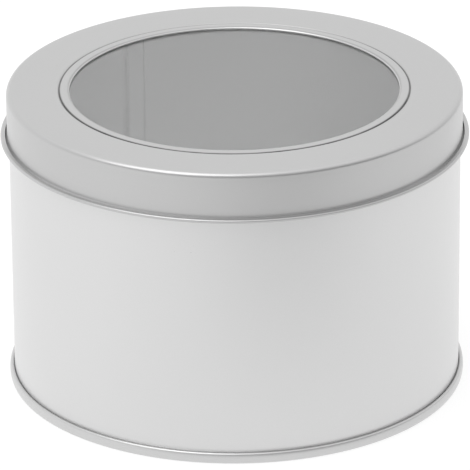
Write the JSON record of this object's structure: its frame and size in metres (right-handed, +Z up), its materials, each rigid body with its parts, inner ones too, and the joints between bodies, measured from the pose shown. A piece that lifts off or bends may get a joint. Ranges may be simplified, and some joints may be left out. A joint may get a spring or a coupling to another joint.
{
  "type": "window lid tin",
  "caption": "Round tinplate tin with a slip lid that has a round clear window, a hemmed window edge and a rolled rim at its foot.",
  "frame": {"origin": "centre of the base, on the surface the tin stands on", "axes": "+Z up along the tin's axis; -Y is the front, the side the picture was taken from, so the side lock seam is at the back left, at 117.5 degrees from +X towards +Y"},
  "size_m": [0.1038, 0.1038, 0.0679],
  "materials": {
    "body_tinplate": "satin silver lacquer on tinplate",
    "base_tinplate": "satin silver lacquer on tinplate",
    "lid_tinplate": "satin silver lacquer on tinplate",
    "window_film": "clear stiff film",
    "ring_tinplate": "satin tinplate"
  },
  "bodies": {
    "can": {"body_wall": "body_tinplate", "base_plate": "base_tinplate"},
    "lid": {"lid_shell": "lid_tinplate", "window_disc": "window_film", "window_ring": "ring_tinplate"}
  },
  "joints": [
    {"name": "lid_lift", "type": "slide", "parent": "can", "child": "lid", "axis": [0, 0, 1], "range_m": [0, 0.06]}
  ]
}
